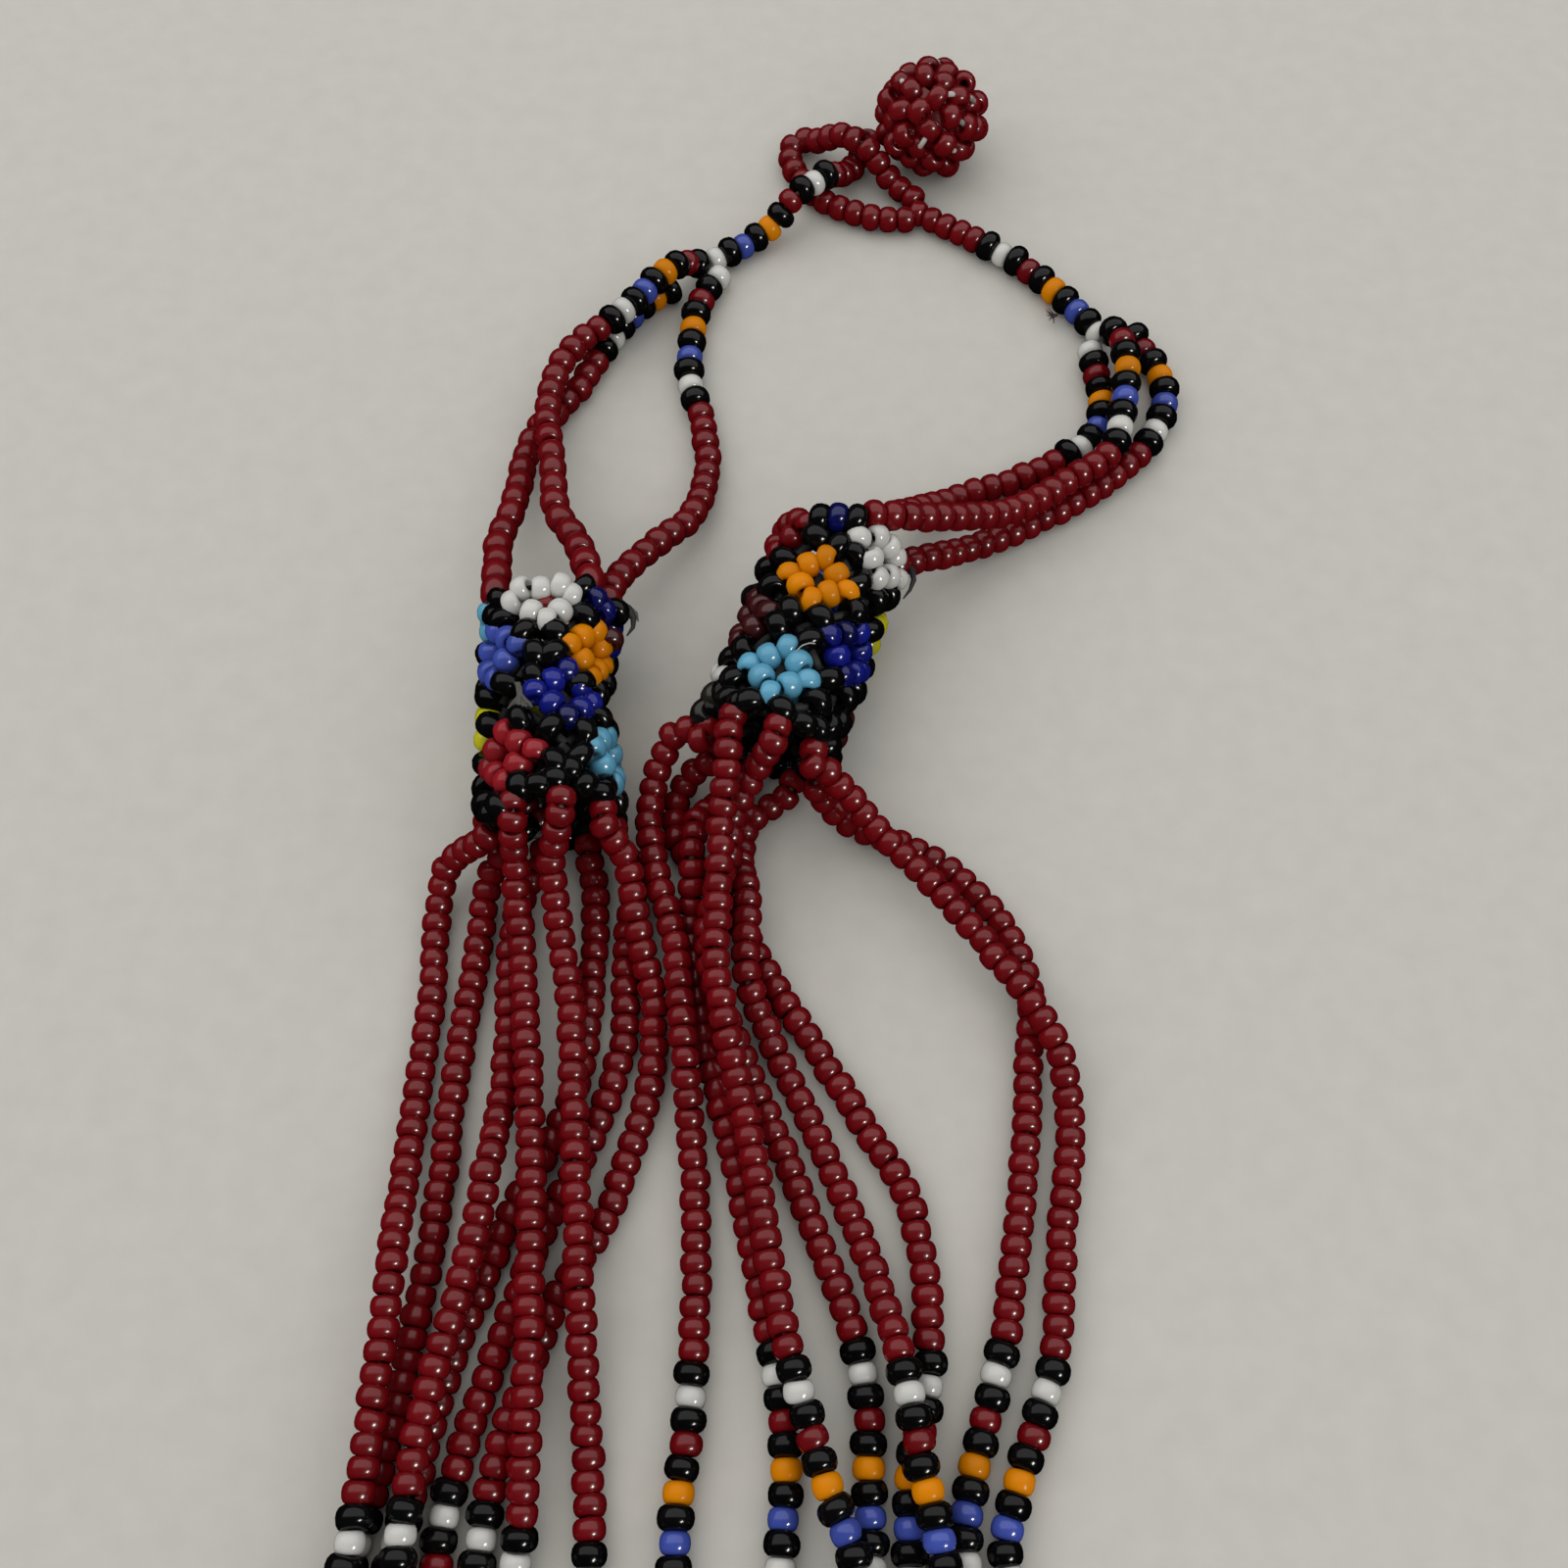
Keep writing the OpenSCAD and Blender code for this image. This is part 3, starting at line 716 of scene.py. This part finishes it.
def ring_beads():
    """The beads of a diamond ring: across, back, and the lean of the bead."""
    beads = []
    for k, (x, y) in enumerate(RING):
        nx, ny = RING[(k + 1) % len(RING)]
        px, py = RING[(k - 1) % len(RING)]
        beads.append((x, y, math.degrees(math.atan2((ny - py) * RING_H, (nx - px) * RING_W))))
    return beads


def woven(tube, half_h, rings, singles, waist=0.0, end_ring=None, flare=RING_OUT):
    """A woven tube: diamond rings, black beads along their edges and single beads.

    A ring is an angle, a distance back and a letter. A single bead is a letter, an angle,
    a distance back, a lean in degrees, how far it stands out, and a size. The first ring
    may have its own beads and stand out further by its flare.
    """
    mesh = BeadMesh()
    length = tube[2]
    taken = [tube_point(tube, angle, back) for letter, angle, back, lean, out, size in singles]

    def place(angle, back, out=0.0):
        spread = math.exp(-((back - WAIST_BACK) / WAIST_SPREAD) ** 2)
        pinch = waist * max(0.0, math.sin(math.radians(angle))) * spread
        back = min(max(back, FRONT_MARGIN), length + BACK_MARGIN)
        return tube_point(tube, angle, back, out - pinch)

    def put(letter, angle, back, lean, out=0.0, grow=1.0):
        mesh.bead(place(angle, back, out), heading(tube, angle, back, lean), letter,
                  WOVEN_LONG * grow, WOVEN_WIDE * grow, WOVEN_LEAN, WOVEN_SHIFT)

    for number, (angle, back, letter) in enumerate(rings):
        loop = []
        beads = end_ring if number == 0 and end_ring else ring_beads()
        out = flare if number == 0 else RING_OUT
        for x, y, lean in beads:
            if back + y * RING_H < FRONT_LIMIT:
                continue
            x = angle + x * RING_W * WEAVE_DEGREES
            y = back + y * RING_H
            put(letter, x, y, math.radians(lean), out)
            loop.append(place(x, y, out - RING_THREAD_IN))
        if len(loop) == len(RING):
            mesh.thread(loop, RING_THREAD_R, "n", closed=True)
            # Thick near-black thread in the ring's middle: partly painted shade inside the tube
            mesh.thread([place(angle, back + part * RING_H, -CORE_THREAD_IN)
                         for part in CORE_PARTS], CORE_THREAD_R, "n")
        for corner in (-HALF_DIAMOND, HALF_DIAMOND):
            lean = math.atan2(half_h, corner / WEAVE_DEGREES)
            for part in EDGE_PARTS:
                a = angle + corner * part
                b = back - half_h * (1 - part)
                near = min([np.linalg.norm(tube_point(tube, a, b) - p) for p in taken])
                if b > EDGE_FRONT and near > SINGLE_SPACE:
                    put("k", a, b, lean + dice.gauss(0, EDGE_LEAN), 0.0, EDGE_SIZE)
            # Near-black thread under the edge: partly painted shade inside the tube
            mesh.thread([place(angle + corner * part, back - half_h * (1 - part), -EDGE_THREAD_IN)
                         for part in QUARTERS], EDGE_THREAD_R, "n")
    for letter, angle, back, lean, out, size in singles:
        mesh.bead(tube_point(tube, angle, back, out),
                  heading(tube, angle, back, math.radians(lean)), letter,
                  size, size, SINGLE_LEAN, SINGLE_SHIFT)
    return mesh


def tube_thread(mesh, tube, places, radius, letter="t", sides=8):
    """A thread end on a tube, through places given as angle, distance back and height."""
    mesh.thread([tube_point(tube, *place) for place in places], radius, letter, sides,
                taper=True)


# Tufts: least and most length of a fibre, sides, how far it curves and how much it waves
SHORTEST_FIBRE = 0.85
LONGEST_FIBRE = 1.05
FIBRE_SIDES = 5
FIBRE_CURVE = 0.35
FIBRE_WAVE = 0.03


def tuft(mesh, root, tips, count, radius, letter, taper=True):
    """A frayed tuft: fibres that fan out from a root to a row of tips."""
    root = np.array(root, float)
    tips = [np.array(tip, float) for tip in tips]
    size = np.linalg.norm(tips[0] - root)
    for i in range(count):
        at = (i + 0.5) / count * (len(tips) - 1)
        k = min(int(at), len(tips) - 2)
        tip = tips[k] * (1 - at + k) + tips[k + 1] * (at - k)
        tip = root + (tip - root) * dice.uniform(SHORTEST_FIBRE, LONGEST_FIBRE)
        bend = (tips[0] + tips[-1] - 2 * tip) / 2 * FIBRE_CURVE
        points = []
        for part in QUARTERS:
            points.append(root * (1 - part) + tip * part + bend * math.sin(math.pi * part)
                          + dice_point(FIBRE_WAVE) * size)
        mesh.thread(points, radius, letter, FIBRE_SIDES, taper=taper)


# Ball: beads, their depth in its outline, jitter, slant, size, lean and shift
BALL_BEADS = 58
BALL_BEAD_IN = 1.3
BALL_JITTER = 0.28
BALL_SLANT = 0.12
BALL_BEAD_LONG = 1.2
BALL_BEAD_WIDE = 1.08
BALL_BEAD_LEAN = 3
BALL_BEAD_SHIFT = 0.15
# Bits of thread in view on the ball: number, steps, radius, and height at end and middle
BALL_THREADS = 20
BALL_THREAD_STEPS = 4
BALL_THREAD_R = 0.32
BALL_THREAD_OUT = 0.1
BALL_THREAD_RISE = 0.8
# The ball's core: radius, rings from pole to pole, sides and tone
CORE_R = 5.1
CORE_RINGS = 12
CORE_SIDES = 24
CORE_TONE = -0.6


def ball():
    """Red beads sewn round a core, with bits of the white thread in view."""
    mesh = BeadMesh()
    radius = BALL_R - BALL_BEAD_IN
    places = []
    for i in range(BALL_BEADS):
        z = 1 - 2 * (i + 0.5) / BALL_BEADS
        a = i * math.pi * (3 - math.sqrt(5))
        r = math.sqrt(1 - z * z)
        places.append(np.array([r * math.cos(a), r * math.sin(a), z]))
    for normal in places:
        axis = np.cross(normal, dice_point(1))
        axis = axis / np.linalg.norm(axis) + normal * dice.gauss(0, BALL_SLANT)
        mesh.bead(BALL_CENTRE + normal * (radius + dice.gauss(0, BALL_JITTER)), axis, "r",
                  BALL_BEAD_LONG, BALL_BEAD_WIDE, BALL_BEAD_LEAN, BALL_BEAD_SHIFT)
    order = sorted(range(BALL_BEADS), key=lambda i: dice.random())
    for i in order[:BALL_THREADS]:
        near = sorted(range(BALL_BEADS), key=lambda j: np.linalg.norm(places[i] - places[j]))
        start = places[i]
        end = places[near[dice.choice([1, 2, 3])]]
        points = []
        for k in range(BALL_THREAD_STEPS + 1):
            part = k / BALL_THREAD_STEPS
            p = start * (1 - part) + end * part
            p /= np.linalg.norm(p)
            rise = BALL_THREAD_OUT + BALL_THREAD_RISE * math.sin(math.pi * part)
            points.append(BALL_CENTRE + p * (radius + rise))
        mesh.thread(points, BALL_THREAD_R)
    core = []
    for ring in range(1, CORE_RINGS):
        a = math.pi * ring / CORE_RINGS
        for side in range(CORE_SIDES):
            b = side * 2 * math.pi / CORE_SIDES
            normal = np.array([math.sin(a) * math.cos(b), math.sin(a) * math.sin(b), math.cos(a)])
            core.append(BALL_CENTRE + CORE_R * normal)
    mesh.add(np.array(core), quads(CORE_RINGS - 1, CORE_SIDES), "r", CORE_TONE)
    mesh.build("beads_ball_button", "red_glass_beads", ["ball_button"])


# The frayed tuft on the right string: its root and its tips
STRING_TUFT = [(31.4, 59.2, 1.6), (30, 60.2, 2.2), (30.2, 59.2, 1.2), (31.2, 58, 1)]

# Tubes: half the height of a diamond, its rings and its single beads
LEFT_HALF_H = 5.1
LEFT_RINGS = [
    (-3, 21.0, "w"), (100, 22.0, "u"), (-100, 22.2, "l"),
    (53, 16.2, "o"), (184, 15.6, "y"), (-52, 16.2, "b"),
    (22, 10.7, "u"), (132, 10.5, "o"), (-104, 10.3, "y"),
    (76, 5.5, "l"), (198, 5.3, "r"), (-36, 4.5, "c"),
    (24, 0.2, "k"), (144, 0.2, "k"), (-96, 0.2, "k")]
LEFT_SINGLES = [
    ("k", -46, 22.2, 40, 0.1, 1), ("k", 38, 22.9, -40, 0.1, 1),
    ("u", 47, 21.7, 30, 0.6, 1), ("u", 58, 20.8, 60, 0.6, 1),
    ("k", 73, 21.5, 60, 0.9, 1), ("d", 70, 18.2, 80, 0.7, 0.95),
    ("r", 1, 20.9, 0, -0.9, 0.9), ("k", -19, 7.8, 10, 0.5, 1),
    ("k", -9, 12.5, 20, -0.2, 1), ("k", -52, -0.9, 70, 0.4, 1.1),
    ("k", -39, -0.6, 30, 0.5, 1.05)]
LEFT_WAIST = 1.3
RIGHT_HALF_H = 5.45
RIGHT_RINGS = [
    (52, 21.8, "w"), (180, 21.8, "b"), (-60, 22.3, "r"),
    (1, 16.0, "o"), (119, 16.2, "y"), (-121, 16.2, "d"),
    (58, 10.6, "u"), (182, 10.8, "l"), (-64, 11.4, "d"),
    (-3, 5.2, "l"), (123, 5.3, "d"), (-110, 5.3, "w"),
    (64, 0.0, "k"), (184, 0.0, "k"), (-56, 0.0, "k")]
RIGHT_SINGLES = [
    ("k", -16, 22.5, 10, 0.7, 1.08), ("u", -2, 23.2, 5, 0.7, 1.08),
    ("k", 13, 23.5, 0, 0.7, 1.08), ("k", 24, 20.1, 70, 0, 1),
    ("w", -95, 6.6, 20, 0.7, 1.1), ("g", -66, 2.3, 10, 0.4, 1.1),
    ("g", -72, 0.5, 0, 0.6, 1.1)]
RIGHT_FLARE = 0.7
# Thread ends on the tubes, as angle, distance back and height, or as places
LEFT_DARK_END = [(72, 22.4, 1.3), (77, 21.8, 2.2), (80, 21, 2.6), (80, 20, 2.5), (77, 18.9, 2)]
LEFT_GREY_END = [(79, 22.3, 2), (82, 21.7, 2.8), (82, 20.8, 3)]
RIGHT_WHITE_END = [(6, 7.1, 1.2), (9, 7.5, 1.9), (13, 7.9, 2.1), (17, 8.3, 1.7)]
RIGHT_DARK_END = [(12.3, 22, 6.4), (13.1, 20.8, 7), (13.2, 19.6, 7.2), (12.8, 18.5, 7),
    (12.1, 17.6, 6.8)]
# The rag of grey thread on the left tube: root, tips, fibres and their radius
RAG_ROOT = (-19, 11.3, 1.3)
RAG_TIPS = [(-26, 8.9, 1.2), (-17, 8.4, 1.5), (-6, 8.5, 1.2)]
RAG_FIBRES = 18
RAG_R = 0.15

ball()
string("button_string", BUTTON_ROUTE, tail=PATTERN[:-1], grow=1.03)
string("clasp_loop", LOOP_ROUTE, after=1.2)
string("right_string", RIGHT_ROUTE, tail=PATTERN[:-1], before=0.6, after=1.2, grow=1.05,
       fuzz=STRING_TUFT)
string("neck_strand_left_1", NECK_LEFT_1, FORK_TAIL, grow=0.97, stretch=1.5)
string("neck_strand_left_2", NECK_LEFT_2, FORK_TAIL[2:], before=1.1, grow=1.02, stretch=1.5)
string("neck_strand_left_3", NECK_LEFT_3, "w" + FORK_TAIL, stretch=1.2)
string("neck_strand_right_1", NECK_RIGHT_1, FORK_TAIL, before=-0.8, after=1.0)
string("neck_strand_right_2", NECK_RIGHT_2, FORK_TAIL, before=0.2, after=1.0, grow=1.06)
string("neck_strand_right_3", NECK_RIGHT_3, "w" + FORK_TAIL, before=-0.2, after=1.0,
       grow=0.96)
for number in range(len(LEFT_HALVES)):
    front_strand(number)

left_tube = woven(LEFT_TUBE, LEFT_HALF_H, LEFT_RINGS, LEFT_SINGLES, LEFT_WAIST, END_RING)
tuft(left_tube, tube_point(LEFT_TUBE, *RAG_ROOT), [tube_point(LEFT_TUBE, *p) for p in RAG_TIPS],
     RAG_FIBRES, RAG_R, "m", False)
tube_thread(left_tube, LEFT_TUBE, LEFT_DARK_END, 0.6, "n")
tube_thread(left_tube, LEFT_TUBE, LEFT_GREY_END, 0.4, "m")
left_tube.build("beads_woven_tube_left", "woven_glass_beads", ["woven_tube_left"])

right_tube = woven(RIGHT_TUBE, RIGHT_HALF_H, RIGHT_RINGS, RIGHT_SINGLES, flare=RIGHT_FLARE)
right_tube.thread([tube_point(RIGHT_TUBE, *p) for p in RIGHT_WHITE_END], 0.06)
right_tube.thread(RIGHT_DARK_END, 0.5, "n", 8, taper=True)
right_tube.build("beads_woven_tube_right", "woven_glass_beads", ["woven_tube_right"])

# Plain pale floor
bpy.ops.mesh.primitive_plane_add(size=4.0)
floor = bpy.context.object
floor.name = "floor"
floor_material, floor_tree, floor_shader, floor_where = new_material("floor")
colours(floor_tree, floor_shader, noise(floor_tree, floor_where, FLOOR_SCALE, 4),
        (0.485, 0.46, 0.405), (0.555, 0.527, 0.467))
floor_shader.inputs["Roughness"].default_value = 0.8
floor.data.materials.append(floor_material)
floor.visible_glossy = False

# The place that the fill and the lamp point at
MIDDLE = (0.0, 0.03, 0.0)


def area_light(name, place, aim, width, height, power, colour=(1, 1, 1)):
    """A rectangular light at a place, turned towards its aim."""
    data = bpy.data.lights.new(name, "AREA")
    data.shape = "RECTANGLE"
    data.size = width
    data.size_y = height
    data.energy = power
    data.color = colour
    light = bpy.data.objects.new(name, data)
    bpy.context.scene.collection.objects.link(light)
    light.location = place
    back = np.array(place) - np.array(aim)
    flat = math.hypot(back[0], back[1])
    light.rotation_euler = (math.atan2(flat, back[2]), 0, math.atan2(back[0], -back[1]))
    return light


# Light: a soft fill, a wide soft panel overhead and a small lamp from the front right
fill = area_light("fill", (-0.5, 0.45, 1.1), MIDDLE, width=2.0, height=1.6, power=6.0)
fill.visible_glossy = False
panel = area_light("panel", (0.0, 0.44, 0.52), (0.0, 0.44, 0.0), width=2.2, height=0.94,
                   power=8.8)
panel.visible_camera = False
panel.visible_diffuse = False
lamp = area_light("lamp", (0.62, -0.58, 0.67), MIDDLE, width=0.3, height=0.18, power=11.0,
                  colour=(1, 0.97, 0.92))
lamp.visible_diffuse = False
world = bpy.data.worlds.new("world")
bpy.context.scene.world = world
world.use_nodes = True
sky = world.node_tree.nodes["Background"]
sky.inputs["Color"].default_value = (0.95, 0.97, 1.0, 1)
sky.inputs["Strength"].default_value = 0.8
world.cycles_visibility.glossy = False
bpy.context.scene.view_settings.view_transform = "Standard"
